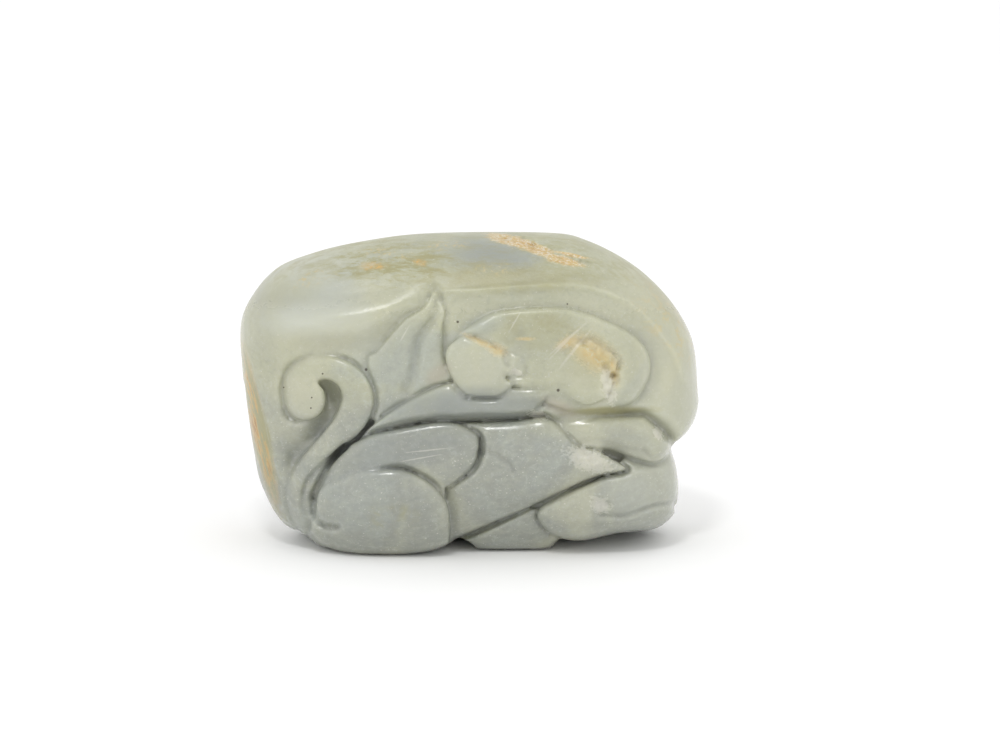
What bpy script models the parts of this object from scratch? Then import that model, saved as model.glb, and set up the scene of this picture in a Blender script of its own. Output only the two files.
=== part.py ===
"""Jade carving: a beast lying down, carved from one thick pebble and resting on its flat underside.

Every carved form is drawn as an outline on a sheet set up in front of the pebble, in hundredths of
the carving's length: across from the left rim, up from the ground line.  The sheet leans back, so
the forms go into the stone square to it.  The stone itself is one field of depths, negative inside
it, from which the forms are raised one after the other, the hindmost first.
"""
import math

import bpy
import numpy as np

# Sizes in metres
LENGTH = 0.080
DEPTH = 0.041

# Sizes in hundredths of the length
HUNDREDTH = LENGTH / 100
HALF_DEPTH = DEPTH / 2 / HUNDREDTH
SWELLING = 31.3
BODY_ROUNDING = 1.8
UNDERSIDE_ROUNDING = 1.6
UNDERSIDE_DROP = 0.8
UNDERSIDE_CUT = 0.15
GRAIN = 0.66
BLOCK = {"across": (-3, 104), "up": (-10, 70), "out": (-HALF_DEPTH - 2, HALF_DEPTH + 4)}

# Corners of a small cube of the grid
CORNERS = [(a, b, c) for a in (0, 1) for b in (0, 1) for c in (0, 1)]

# An ellipse has a fullness of 2, a squarer swelling has more
FULLNESS = 2.25
SHEET_LEAN = math.radians(12)
TRIANGLES = 9300
CURVE_STEPS = 8

# Outline of the pebble before carving, and of the body left standing
PEBBLE = [(0.0, 49.6), (6.5, 58.6), (15.2, 62.6), (26.7, 65.3), (41.3, 67.0), (66.6, 67.1), (75.4, 65.4),
    (84.9, 60.5), (91.9, 54.4), (96.7, 47.8), (99.1, 41.3), (100.0, 30.7), (101.5, 20.4), (101.8, 9.4),
    (98.5, -0.5), (87.5, -8.2), (69.9, -11.5), (43.5, -11.9), (23.7, -10.4), (12.8, -4.9), (4.4, 9.6),
    (1.9, 19.3), (-0.3, 37.0)]
BODY = [(-3.5, 44.0), (-3, 52), (0, 57), (5, 61.5), (12.3, 64.8), (26.7, 69), (41.3, 71), (66.6, 71),
    (77.5, 68.5), (88, 63.5), (95.5, 57), (101, 49), (103, 41.3), (103, 32.9), (99.8, 27.0), (97.2, 23.2),
    (94.5, 20.9), (92.9, 19.5), (92.3, 14.9), (92.3, 8.3), (88.6, 4.3), (78.7, 2.1), (69.9, 0.8),
    (62, -0.6), (53, -1.2), (47.2, 0.2), (42, -3.5), (36, -5), (22.5, -4.6), (15.6, -0.6), (12.9, 1.9),
    (10.9, 1.7), (7.4, 3.4), (2.8, 8.9), (-0.5, 19.3), (-2.2, 30.0)]

# The front, left lower than the mantle round it, and the bed the tail lies in
FRONT = [(4.4, 39.1), (9.5, 39.9), (16.0, 40.8), (29.0, 40.8), (33.0, 43.9), (41.8, 52.7), (46.8, 53.8),
    (66.6, 55.2), (75.4, 54.7), (83.1, 51.8), (90.5, 44.1), (91.4, 36.9), (90.1, 29.2), (91.9, 21.5),
    (105.1, 19.3), (105.1, -18.1), (17.1, -18.1), (12.7, -1.6), (10.5, 7.2), (7.7, 14.9), (5.3, 30.3)]
TAIL_BED = [(6.4, 32.5), (9.4, 38.2), (16.7, 40.9), (25.5, 40.3), (31.0, 33.6), (29.0, 23.7),
    (21.5, 16.5), (15.2, 8.5), (13.0, 5.0), (11.2, 8.2), (8.4, 14.2), (6.2, 21.5)]
MANTLE_FLUTE = [(4.4, 39.8), (8.4, 40.7), (14.0, 41.4), (21.5, 41.4), (26.5, 41.9), (31.1, 44.2),
    (35.5, 48.6), (39.0, 51.2), (40.5, 53.5)]
MANTLE_VALLEY = [(4.4, 51.6), (12.7, 51.8), (23.7, 53.1), (34.7, 54.4), (43.5, 54.9)]
MANTLE_LOBE = [(7.3, 48.3), (20.4, 48.5), (30.3, 50.9), (36.9, 53.1)]
MANTLE_RIDGE = [(40.2, 54.2), (50.1, 54.2), (69.9, 55.5), (78.7, 54.2), (86.4, 50.3), (94.1, 41.3),
    (96.7, 34.7)]

# Carved forms of the front
LENS = [(46.4, 43.9), (52.6, 48.5), (58.2, 50.2), (70.9, 50.6), (81.4, 47.1), (86.3, 44.0), (88.8, 40.8),
    (89.3, 36.6), (87.8, 32.7), (85.6, 30.0), (82.1, 28.2), (75.8, 27.4), (71.0, 27.8), (65.5, 29.8),
    (56.7, 30.3), (47.9, 31.4), (45.1, 38.0)]
LEAF = [(28.7, 25.9), (29.2, 29.7), (28.7, 33.6), (27.3, 37.3), (27.5, 40.2), (29.5, 41.6), (34.8, 47.7),
    (39.5, 50.8), (42.2, 54.3), (44.5, 49.9), (44.1, 46.7), (44.3, 40.2), (45.7, 34.4), (41.7, 33.3),
    (32.7, 28.1)]
LEAF_FOLD = [(42.6, 52.2), (41.7, 48.1), (38.4, 43.2), (37.4, 36.4), (35.8, 32.5)]
BAND = [(25.9, 21.6), (27.7, 24.1), (34.4, 29.3), (44.2, 33.9), (50.1, 33.8), (65.5, 32.9), (68.1, 32.6),
    (66.2, 30.3), (61.8, 26.5), (58.5, 26.2), (49.8, 26.1), (45.6, 26.6), (40.7, 26.1), (30.2, 23.0)]
FOOT_UNDER = [(46.8, 0.4), (48.4, -0.2), (50.4, -1.6), (52.3, -4.9), (66.6, -4.9), (68.1, -1.6),
    (69.5, 0.2), (67.3, 1.5), (64.6, 4.5), (64.3, 6.5), (56.7, 6.1), (50.1, 2.8)]
HOOF = [(65.5, 7.4), (69.9, 9.8), (79.3, 14.0), (85.3, 19.3), (89.7, 19.3), (93.7, 19.3), (95.6, 13.8),
    (95.7, 8.0), (94.9, 6.9), (94.8, 5.0), (90.7, 2), (82.5, 1.2), (74.1, -0.5), (67.9, 0.7),
    (64.5, 4.4)]
HOOF_CLEFT = [(78.2, 5.2), (81.5, 5.0), (84.6, 5.3), (90.9, 7.5), (97.1, 8.2)]
PAW = [(66.6, 22.4), (68.1, 25.9), (71.2, 27.1), (80.4, 27.1), (86.3, 27.1), (88.8, 26.4), (93.2, 22.1),
    (93.4, 18.7), (90.5, 16.6), (86.6, 17.1), (79.8, 19.3), (77.3, 18.0), (68.8, 18.2)]
LEG = [(45.2, -0.7), (44.8, 3.9), (44.2, 9.2), (44.6, 14.9), (45.7, 23.7), (47.5, 25.3), (58.9, 25.9),
    (64.4, 26.6), (67.0, 26.4), (69.2, 25.0), (73.6, 20.6), (77.8, 19.5), (83.5, 16.0), (83.1, 14.8),
    (76.2, 13.2), (63.0, 7.0), (47.8, 0.3)]
LEG_CRACK = [(52.0, 19.0), (53.5, 19.1), (54.8, 18.7), (58.3, 16.6), (59.1, 15.1)]
KNEE = [(16.4, 8.3), (16.7, 12.4), (20.0, 17.9), (25.8, 21.8), (31.6, 23.7), (44.4, 25.7), (50.7, 23.5),
    (51.9, 21.0), (51.5, 17.9), (49.8, 15.0), (45.5, 11.7), (44.4, 11.1), (42.6, 8.3), (30.3, 8.3)]
HAUNCH = [(16.2, 10.6), (20.7, 13.0), (24.3, 14.7), (32.1, 15.5), (36.4, 14.8), (40.7, 12.6),
    (43.8, 9.4), (45.2, 5.9), (45.3, -0.2), (43.6, -1.9), (39, -3.4), (33, -4.2), (25, -4.2),
    (18.8, -2.4), (15.2, 0.2), (14.6, 2.4), (15.2, 6.0)]
HAUNCH_HOOK = [(22.3, 20.0), (19.2, 16.6), (17.2, 13.2), (15.9, 9.8), (15.5, 6.2), (16.0, 4.6), (17.1, 3.3),
    (18.6, 2.7), (20.6, 2.6)]
FIST = [(48.0, 44.5), (44.6, 41.5), (44.9, 36.8), (47.8, 32.3), (50.2, 31.2), (56.0, 31.2), (59.0, 33.3),
    (59.1, 34.4), (57.8, 35.3), (60.9, 35.4), (62.0, 36.5), (61.2, 40.2), (55.8, 41.8), (54.1, 43.0),
    (50.2, 44.3)]
STUMP = [(67.3, 35.8), (70.5, 43.5), (74.7, 43.7), (77.1, 43.5), (81.8, 39.9), (82.3, 38.2),
    (81.6, 36.2), (81.9, 34.9), (80.8, 33.3), (80.4, 31.4), (79.4, 30.6), (74.7, 29.2), (68.4, 32.0),
    (66.6, 32.9)]

# Middle line of the tail with its half width, from the root below to the ball at its end
TAIL = [(13.4, 2.0, 1.3), (12.1, 4.8, 1.6), (11.3, 7.6, 1.8), (11.3, 10.6, 2.0), (12.4, 13.9, 2.1),
    (15.5, 17.6, 2.3), (19.1, 21.2, 2.6), (22.6, 24.6, 3.3), (24.6, 27.8, 3.7), (25.3, 30.9, 3.7),
    (24.2, 34.2, 3.4), (21.8, 36.5, 3.0), (18.7, 37.5, 2.9), (15.6, 37.1, 3.2), (13.6, 35.3, 4.1),
    (13.2, 33.3, 4.6), (13.6, 30.5, 4.8)]

# Hollow inside the tail's curl and down beside its stem, with its depth
TAIL_HOLLOW = [(19.3, 31.4, 4.5), (20.0, 27.6, 4.5), (17.6, 23.2, 4.3), (14.2, 19.2, 2.6), (10.8, 14.5, 1.0),
    (9.4, 9.5, 0.2)]

# Lower edge of the mantle across the back
BACK_MANTLE = [(-8, 30), (8, 37), (30, 42), (52, 43), (74, 41), (92, 33), (110, 24)]


def ramp(value, start, end):
    """Soft step from 0 at start to 1 at end."""
    share = np.clip((value - start) / (end - start), 0, 1)
    return share * share * (3 - 2 * share)


def overlap(first, second, rounding):
    """What two solids share, its outer edge rounded."""
    corner = np.hypot(np.maximum(first + rounding, 0), np.maximum(second + rounding, 0))
    return np.minimum(np.maximum(first, second), -rounding) + corner


def union(first, second, rounding):
    """Two solids joined, the inner corner between them filled."""
    return -overlap(-first, -second, rounding)


def curve(points, closed):
    """Even curve through the points, as many short straight steps."""
    points = np.array(points, float)
    if closed:
        before, start, end, after = (np.roll(points, shift, 0) for shift in (1, 0, -1, -2))
    else:
        ends = [2 * points[:1] - points[1:2], points, 2 * points[-1:] - points[-2:-1]]
        padded = np.vstack(ends)
        before, start, end, after = padded[:-3], padded[1:-2], padded[2:-1], padded[3:]
    share = (np.arange(CURVE_STEPS) / CURVE_STEPS)[None, :, None]
    before, start, end, after = (corner[:, None, :] for corner in (before, start, end, after))
    line = start + 0.5 * share * (end - before)
    line = line + share ** 2 * (before - 2.5 * start + 2 * end - 0.5 * after)
    line = line + share ** 3 * (1.5 * start - 0.5 * before - 1.5 * end + 0.5 * after)
    line = line.reshape(-1, points.shape[1])
    return line if closed else np.vstack([line, points[-1]])


class Stone:
    """The stone while it is carved: depths on a grid, negative inside, in hundredths of the length."""

    def __init__(self, grain):
        self.grain = grain
        rows = [np.arange(low, high, grain) for low, high in BLOCK.values()]
        self.across, self.up = np.meshgrid(rows[0], rows[1], indexing="ij")
        self.out = rows[2][None, None, :].astype(np.float32)
        self.low = np.array([low for low, high in BLOCK.values()])
        self.skin = self.pebble()
        self.field = self.skin.copy()

    def distance(self, points, closed=False):
        """Distance from a curve, and how far along it the nearest place lies."""
        line = curve(points, closed)
        ends = np.roll(line, -1, 0) if closed else line[1:]
        best = np.full(self.across.shape, np.inf)
        along = np.zeros_like(best)
        for number, (start, end) in enumerate(zip(line, ends)):
            step = end[:2] - start[:2]
            share = (self.across - start[0]) * step[0] + (self.up - start[1]) * step[1]
            share = np.clip(share / (step @ step), 0, 1)
            gap = np.hypot(self.across - start[0] - share * step[0], self.up - start[1] - share * step[1])
            nearer = gap < best
            best = np.where(nearer, gap, best)
            along = np.where(nearer, number + share, along)
        return best, along

    def depth_inside(self, outline):
        """Distance from an outline, positive within it and negative outside."""
        line = curve(outline, True)
        within = np.zeros(self.across.shape, bool)
        for start, end in zip(line, np.roll(line, -1, 0)):
            if start[1] == end[1]:
                continue
            beside = (start[1] > self.up) != (end[1] > self.up)
            edge = start[0] + (end[0] - start[0]) * (self.up - start[1]) / (end[1] - start[1])
            within ^= beside & (self.across < edge)
        gap = self.distance(outline, True)[0]
        return np.where(within, gap, -gap)

    def softened(self, sheet, width):
        """A sheet of values with its creases rubbed out over the width."""
        reach = int(math.ceil(3 * width / self.grain))
        weights = np.exp(-0.5 * (np.arange(-reach, reach + 1) * self.grain / width) ** 2)
        weights /= weights.sum()
        for axis in (0, 1):
            size = sheet.shape[axis]
            padding = [(reach, reach) if side == axis else (0, 0) for side in (0, 1)]
            padded = np.pad(sheet, padding, mode="edge")
            parts = (padded.take(range(n, n + size), axis) * w for n, w in enumerate(weights))
            sheet = sum(parts)
        return sheet

    def pebble(self):
        """Skin of the uncarved pebble, swelling from its outline towards the middle, front and back."""
        depth = self.depth_inside(PEBBLE)
        inner = ramp(depth, 0, 11)
        depth = depth * (1 - inner) + self.softened(depth, 3.8) * inner
        share = np.maximum(1 - depth / SWELLING, 0)[:, :, None].astype(np.float32)
        size = (share ** FULLNESS + np.abs(self.out / HALF_DEPTH) ** FULLNESS) ** (1 / FULLNESS)
        return (size - 1) * HALF_DEPTH

    def sink(self, amount, side=1):
        """Lowers one side of the stone by an amount given for each place on the sheet."""
        self.field = self.field + amount[:, :, None] * ramp(side * self.out, -5, 5)

    def score(self, points, depth, width):
        """Cuts a rounded line into the front."""
        gap = self.distance(points)[0]
        amount = depth * np.exp(-(gap / width) ** 2)
        self.field = self.field + amount[:, :, None] * ramp(self.out, -1, 1)

    def raise_form(self, depth, foot, crown, over, edge=0.6, ditch=1.2, bank=2.5, brim=0.8, back=-5,
                   back_edge=0.8, join=0.3, lean=0, soft=0.9, bed=4, side=1):
        """Raises one form from the side of the stone.

        The ditch round it is cut first, no deeper than the bed, with an even bank up to a rounded
        brim.  The form's rim then stands at its foot's depth below the pebble's skin, and its crown
        swells over a distance from the rim.
        """
        valley = np.maximum(foot + ditch - bank * np.maximum(-depth, 0), -4)
        inner = ramp(depth, 0, 1.9)
        rise = self.softened(np.maximum(depth, 0), soft) * inner + depth * (1 - inner)
        height = foot - crown * np.sqrt(1 - (1 - np.clip(rise / over, 0, 1)) ** 2)

        near = np.argwhere((depth > -1) | (valley > -2.5))
        near = tuple(slice(low, high + 1) for low, high in zip(near.min(0), near.max(0)))
        valley, height, depth = (sheet[near][:, :, None] for sheet in (valley, height, depth))
        out, skin = side * self.out, self.skin[near]
        field = overlap(self.field[near], np.minimum(skin + valley, out - bed), brim)
        top = skin + height
        form = overlap(top, lean * np.clip(-top, 0, 7.5) - depth, edge)
        form = overlap(form, back - out, back_edge)
        self.field[near] = union(field, form, join)

    def slope(self, at, value, across=0, up=0):
        """Sheet of values that has the value at one place and changes evenly across and up."""
        return value + across * (self.across - at[0]) + up * (self.up - at[1])


def carve_mantle(stone):
    """Lowers the front below the mantle, with the lobe, the flutes and the thin ridge of its edge."""
    front = stone.depth_inside(FRONT)
    lower = ramp(27 - stone.up, -1, 3) * ramp(stone.across, 17, 22.5) * (1 - 0.5 * ramp(stone.across, 82, 92))
    amount = (1.2 + 1.6 * ramp(45 - stone.across, 0, 14)) * ramp(front, -6, 9)
    amount = amount + 6 * lower * ramp(front, -0.5, 3)
    flute = 2.4 * np.exp(-(stone.distance(MANTLE_FLUTE)[0] / 3.2) ** 2)
    amount = amount + flute * ramp(stone.across, 8, 20) * ramp(51 - stone.up, 0, 8)
    valley = 0.8 * np.exp(-(stone.distance(MANTLE_VALLEY)[0] / 3) ** 2)
    amount = amount + valley * ramp(42 - stone.across, 0, 12)
    amount = amount - 0.6 * np.exp(-(stone.distance(MANTLE_LOBE)[0] / 4.2) ** 2)
    ridge = 0.3 * np.exp(-stone.distance(MANTLE_RIDGE)[0] ** 2)
    amount = amount - ridge * ramp(stone.across, 42, 52)
    stone.sink(amount)


def carve_tail_bed(stone):
    """Sinks the bed of the tail, deepest inside its curl and down beside its stem."""
    bed = stone.depth_inside(TAIL_BED)
    gap, along = stone.distance(TAIL_HOLLOW)
    line = curve(TAIL_HOLLOW, False)
    hollow = np.interp(along, np.arange(len(line)), line[:, 2]) * np.exp(-(gap / 4) ** 2)
    amount = 3.2 * ramp(bed, -4, 6) + hollow * ramp(bed, -1.9, 4)
    floor = np.minimum(stone.skin + amount[:, :, None], stone.out - 5.6)
    floor = np.where(amount[:, :, None] > 0, floor, stone.field)
    stone.field = np.maximum(stone.field, floor)


def raise_body(stone):
    """Lens, leaf and band, which lie deepest of the forms."""
    low = np.maximum(ramp(stone.across, 80, 88), ramp(35 - stone.up, 0, 4))
    lens = stone.depth_inside(LENS)
    stone.raise_form(lens, 1.5 + 0.9 * low, 1.1, 3.2, ditch=0.9 * low - 0.2, bank=0.5, brim=1.5)
    shoulder = ramp(58 - stone.across, 0, 6) * ramp(stone.up, 42, 45)
    stone.sink((-0.3 - 0.5 * shoulder) * np.exp(-((lens - 1 - 0.5 * shoulder) / (0.7 + 0.5 * shoulder)) ** 2))
    fold = 1.2 * np.exp(-(stone.distance(LEAF_FOLD)[0] / 1.4) ** 2)
    foot = stone.slope((36, 38), 3.7, across=-0.03) - 2.9 * ramp(stone.up, 41, 54) + fold
    stone.raise_form(stone.depth_inside(LEAF), foot, 1.3, 2.8, edge=0.8, ditch=0.1, bank=0.8, brim=1.2)
    open_end = ramp(stone.across, 56, 64) * ramp(stone.up, 29, 32)
    stone.raise_form(stone.depth_inside(BAND), 2.9 - open_end, 1.9, 3.2, edge=0.8, ditch=1.2 - 3 * open_end)


def raise_tail(stone):
    """The tail, rising from below and curling over to a ball."""
    gap, along = stone.distance(TAIL)
    line = curve(TAIL, False)
    half_width = np.interp(along, np.arange(len(line)), line[:, 2])
    foot = stone.slope((21.5, 26), 4.2, across=-0.03) - 1.7 * ramp(24 - stone.up, 0, 16)
    ditch = 0.5 - 2 * ramp(stone.up - 25, 0, 5) * ramp(24 - stone.across, 0, 8)
    ditch = ditch - 2.5 * ramp(20 - stone.up, 0, 8)
    ditch = ditch - 3 * ramp(19 - stone.up, 0, 5) * ramp(stone.across, 11.5, 13)
    stone.raise_form(half_width - gap, foot, 1.9, 2.4, edge=0.9, ditch=ditch, bank=1.6, join=0.9, lean=0.1,
                     bed=5.6)


def raise_feet(stone):
    """The foot below, the cloven hoof, the forearm with its paw, and the leg across them."""
    stone.raise_form(stone.depth_inside(FOOT_UNDER), 6.7, 1.5, 3.8)
    stone.raise_form(stone.depth_inside(HOOF), 5, 2.5, 5.6, edge=1.5, ditch=1.7, back=-15, back_edge=9)
    end = ramp(stone.across, 80, 92)
    foot = 6.1 + 1.2 * ramp(80 - stone.across, 0, 12) - 3.4 * end
    ditch = 0.8 - 4 * ramp(88 - stone.across, 0, 18)
    stone.raise_form(stone.depth_inside(PAW), foot, 3.8 - 1.4 * end, 4, edge=1.5, ditch=ditch, bank=1.5,
                     brim=1.6, back=-4, join=1.2, soft=1.2)
    foot = stone.slope((55, 15), 6, across=-0.06, up=-0.06)
    ditch = 1.9 - 2.2 * ramp(stone.across - 66, 0, 5) * ramp(stone.up, 18, 20)
    stone.raise_form(stone.depth_inside(LEG), foot, 3.5, 6.2, ditch=ditch, bank=2.8)


def raise_haunch(stone):
    """The knee lobe and the round haunch in front of it."""
    ditch = 1.8 - 2.6 * ramp(30 - stone.across, 0, 12)
    bank = 2.5 - 1.6 * ramp(30 - stone.across, 0, 8)
    stone.raise_form(stone.depth_inside(KNEE), 4.2, 2, 3.8, edge=0.8, ditch=ditch, bank=bank, join=0.6)
    left = ramp(18 - stone.across, 0, 3)
    ditch = 2.2 - 6 * ramp(36 - stone.across, 0, 14) + 3.6 * left
    foot = 3.2 - 1.2 * ramp(20 - stone.across, 0, 6)
    stone.raise_form(stone.depth_inside(HAUNCH), foot, 4.2, 13, ditch=ditch, bank=2.5 - 1.5 * left, back=-15,
                     back_edge=9, join=1.4, soft=2.5)


def raise_broken_stubs(stone):
    """The two stubs left standing on the lens where the stone broke away."""
    low = ramp(43 - stone.up, 0, 7)
    ditch = 0.9 * low - 0.2 - 1.4 * ramp(stone.across, 55, 60)
    stone.raise_form(stone.depth_inside(FIST), 1 + 0.8 * low, 2.2 + 0.6 * low, 4.5, ditch=ditch, bank=1.2,
                     lean=0.12, soft=1.5)
    foot = 1.4 + 1.3 * ramp(74 - stone.across, 0, 6)
    ditch = 0.4 - 5 * ramp(76 - stone.across, 0, 6) - 0.8 * ramp(stone.up, 38, 43)
    stone.raise_form(stone.depth_inside(STUMP), foot, 1.6, 3, ditch=ditch, bank=1, soft=1.3)


def carve_back(stone):
    """The plainer back: the mantle's edge over the same leg, knee and haunch, all soft and shallow."""
    line = curve(BACK_MANTLE, False)
    edge = np.interp(stone.across, line[:, 0], line[:, 1])
    stone.sink(1.5 * ramp(edge - stone.up, -1.5, 2.5), side=-1)
    for outline, foot, crown, over in ((LEG, 3.4, 2.6, 7), (KNEE, 2.8, 1.8, 5), (HAUNCH, 2.4, 2.8, 11)):
        stone.raise_form(stone.depth_inside(outline), foot, crown, over, edge=1.6, ditch=0.7, bank=1.5,
                         back=-3, join=0.8, soft=2, side=-1)


def carved_stone():
    """The whole carving, the hindmost forms first."""
    stone = Stone(GRAIN)
    carve_mantle(stone)
    carve_tail_bed(stone)
    carve_back(stone)
    stone.field = overlap(stone.field, -stone.depth_inside(BODY)[:, :, None], BODY_ROUNDING)
    raise_body(stone)
    raise_tail(stone)
    raise_feet(stone)
    raise_haunch(stone)
    raise_broken_stubs(stone)
    stone.score(HAUNCH_HOOK, 1.3, 0.8)
    stone.score(HOOF_CLEFT, 0.8, 0.6)
    stone.score(LEG_CRACK, 0.6, 0.6)
    height = stone.up[:, :, None] / math.cos(SHEET_LEAN) + stone.out * math.sin(SHEET_LEAN)
    stone.field = overlap(stone.field, -height - UNDERSIDE_DROP, UNDERSIDE_ROUNDING)
    return stone


def at_corner(values, corner):
    """The values at one corner of every small cube of the grid."""
    return values[tuple(slice(step, n - 1 + step) for step, n in zip(corner, values.shape))]


def without_slits(field, grain):
    """Fills slits and pinholes too fine for the grid, where solid places would only touch at an edge."""
    field = field.copy()
    loose = True
    while loose:
        inside = field < 0
        walls = sum(np.roll(inside, step, axis).astype(np.int8) for axis in (0, 1, 2) for step in (1, -1))
        fill = ~inside & (walls > 4)
        for first in CORNERS:
            for second in CORNERS:
                free = [axis for axis in (0, 1, 2) if first[axis] != second[axis]]
                if len(free) < 2 or first > second:
                    continue
                fixed = [axis for axis in (0, 1, 2) if axis not in free]
                around = [c for c in CORNERS if all(c[axis] == first[axis] for axis in fixed)]
                others = [corner for corner in around if corner not in (first, second)]
                ends = at_corner(inside, first), at_corner(inside, second)
                rest = [at_corner(inside, corner) for corner in others]
                solid = ends[0] & ends[1] & ~np.any(rest, 0)
                hollow = ~ends[0] & ~ends[1] & np.all(rest, 0)
                for corner in others:
                    at_corner(fill, corner)[...] |= solid
                for corner in (first, second):
                    at_corner(fill, corner)[...] |= hollow
        loose = fill.any()
        field[fill] = -0.2 * grain
    return field


def skin_of(stone):
    """Corners and four-sided faces where the field changes sign.

    Each small cube of the grid that the skin passes through gets one corner, at the mean of the
    places where the skin crosses its edges, and each grid edge it crosses joins four of them.
    """
    field = without_slits(stone.field, stone.grain)
    inside = field < 0
    filled = sum(at_corner(inside, corner).astype(int) for corner in CORNERS)
    crossed = (filled > 0) & (filled < 8)
    number = np.full(crossed.shape, -1)
    number[crossed] = np.arange(crossed.sum())
    values = {corner: at_corner(field, corner)[crossed] for corner in CORNERS}
    place = np.zeros((crossed.sum(), 3))
    hits = np.zeros(len(place))
    for start in CORNERS:
        for axis in (0, 1, 2):
            if start[axis]:
                continue
            end = tuple(1 if n == axis else value for n, value in enumerate(start))
            first, second = values[start], values[end]
            hit = (first < 0) != (second < 0)
            share = first[hit] / (first[hit] - second[hit])
            place[hit] += np.array(start)
            place[hit, axis] += share
            hits[hit] += 1
    place = place / hits[:, None] + np.argwhere(crossed)

    faces = []
    for axis in (0, 1, 2):
        second, third = (axis + 1) % 3, (axis + 2) % 3
        first_side, other_side = np.swapaxes(inside, 0, axis)[:-1], np.swapaxes(inside, 0, axis)[1:]
        edges = np.argwhere(np.swapaxes(first_side != other_side, 0, axis))
        ring = []
        for back, down in ((1, 1), (0, 1), (0, 0), (1, 0)):
            cube = edges.copy()
            cube[:, second] -= back
            cube[:, third] -= down
            ring.append(number[tuple(cube.T)])
        ring = np.stack(ring, 1)
        outward = inside[tuple(edges.T)]
        faces.append(np.where(outward[:, None], ring, ring[:, ::-1]))
    return place * stone.grain + stone.low, np.vstack(faces)


def evened(places, faces, rounds):
    """Corners drawn towards the mean of their neighbours and back, which rubs out the grid's steps."""
    starts, ends = faces.ravel(), np.roll(faces, -1, 1).ravel()
    count = np.bincount(starts, minlength=len(places))[:, None]
    for amount in (0.5, -0.52) * rounds:
        means = [np.bincount(starts, places[ends, axis], len(places)) for axis in (0, 1, 2)]
        places = places + amount * (np.stack(means, 1) / count - places)
    return places


def upright(places):
    """From the leaning sheet to the standing stone: right, back and up, in metres."""
    across, up, out = places.T
    depth = -out * math.cos(SHEET_LEAN)
    height = up / math.cos(SHEET_LEAN) + out * math.sin(SHEET_LEAN) + UNDERSIDE_DROP - UNDERSIDE_CUT
    stood = np.stack([across, depth, height], 1) * HUNDREDTH
    middle = (stood.max(0) + stood.min(0)) / 2
    return stood - [middle[0], middle[1], 0]


def jade():
    """Polished pale grey-green jade."""
    material = bpy.data.materials.new("pale_jade")
    material.use_nodes = True
    shader = material.node_tree.nodes["Principled BSDF"]
    shader.inputs["Base Color"].default_value = (0.50, 0.52, 0.42, 1)
    shader.inputs["Roughness"].default_value = 0.25
    shader.inputs["Metallic"].default_value = 0
    return material


def collection(name):
    """A new collection in the scene."""
    group = bpy.data.collections.new(name)
    bpy.context.scene.collection.children.link(group)
    return group


def ground_cutter(group):
    """Slab under the ground that cuts the underside flat."""
    bpy.ops.mesh.primitive_cube_add(size=1, location=(0, 0, -LENGTH / 8))
    slab = bpy.context.object
    slab.name = "ground_cutter"
    slab.scale = (1.5 * LENGTH, LENGTH, LENGTH / 4)
    slab.hide_render = True
    slab.display_type = "WIRE"
    for home in list(slab.users_collection):
        home.objects.unlink(slab)
    group.objects.link(slab)
    return slab


def build():
    """One solid stone, its carved skin thinned out and its underside cut flat."""
    for item in list(bpy.data.objects):
        bpy.data.objects.remove(item)
    places, faces = skin_of(carved_stone())
    mesh = bpy.data.meshes.new("jade_carving")
    mesh.from_pydata(upright(evened(places, faces, 2)).tolist(), [], faces.tolist())
    mesh.shade_smooth()
    mesh.materials.append(jade())
    carving = bpy.data.objects.new("jade_carving", mesh)
    collection("Jade carving").objects.link(carving)

    thinned = carving.modifiers.new("thinned", "DECIMATE")
    thinned.ratio = TRIANGLES / (2 * len(faces))
    cut = carving.modifiers.new("flat_underside", "BOOLEAN")
    cut.operation = "DIFFERENCE"
    cut.solver = "EXACT"
    cut.object = ground_cutter(collection("Cutters"))


build()
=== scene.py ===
"""Looks of the jade carving: one pebble of pale jade, carved, polished, worn and chipped.

The stone is worked out the way its solid is, as one field of depths from which the forms are raised,
on a finer grid and with the relief of the breaks, cracks and pits that the solid leaves out.
"""
import math

import bpy
import numpy as np
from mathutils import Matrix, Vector


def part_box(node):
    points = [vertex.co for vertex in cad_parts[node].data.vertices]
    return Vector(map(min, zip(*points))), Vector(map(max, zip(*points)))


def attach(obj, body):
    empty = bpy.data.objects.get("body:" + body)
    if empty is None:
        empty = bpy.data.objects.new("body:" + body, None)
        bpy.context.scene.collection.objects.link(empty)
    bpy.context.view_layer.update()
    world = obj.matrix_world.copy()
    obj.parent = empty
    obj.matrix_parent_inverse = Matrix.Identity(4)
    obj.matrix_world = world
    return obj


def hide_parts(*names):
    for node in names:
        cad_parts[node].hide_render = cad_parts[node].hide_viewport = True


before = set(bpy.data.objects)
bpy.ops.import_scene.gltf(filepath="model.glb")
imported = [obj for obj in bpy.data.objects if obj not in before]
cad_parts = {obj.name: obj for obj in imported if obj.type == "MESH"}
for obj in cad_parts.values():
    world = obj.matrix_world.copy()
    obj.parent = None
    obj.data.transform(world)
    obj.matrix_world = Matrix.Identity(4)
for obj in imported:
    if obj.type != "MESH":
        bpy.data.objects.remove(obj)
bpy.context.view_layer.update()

# Sizes in metres
LENGTH = 0.080
DEPTH = 0.041

# Sizes in hundredths of the length
HUNDREDTH = LENGTH / 100
HALF_DEPTH = DEPTH / 2 / HUNDREDTH
SWELLING = 31.3
BODY_ROUNDING = 1.8
UNDERSIDE_ROUNDING = 1.6
UNDERSIDE_DROP = 0.8
UNDERSIDE_CUT = 0.15
GRAIN = 0.44
BLOCK = {"across": (-3, 104), "up": (-10, 70), "out": (-HALF_DEPTH - 2, HALF_DEPTH + 4)}

# Corners of a small cube of the grid
CORNERS = [(a, b, c) for a in (0, 1) for b in (0, 1) for c in (0, 1)]

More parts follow.
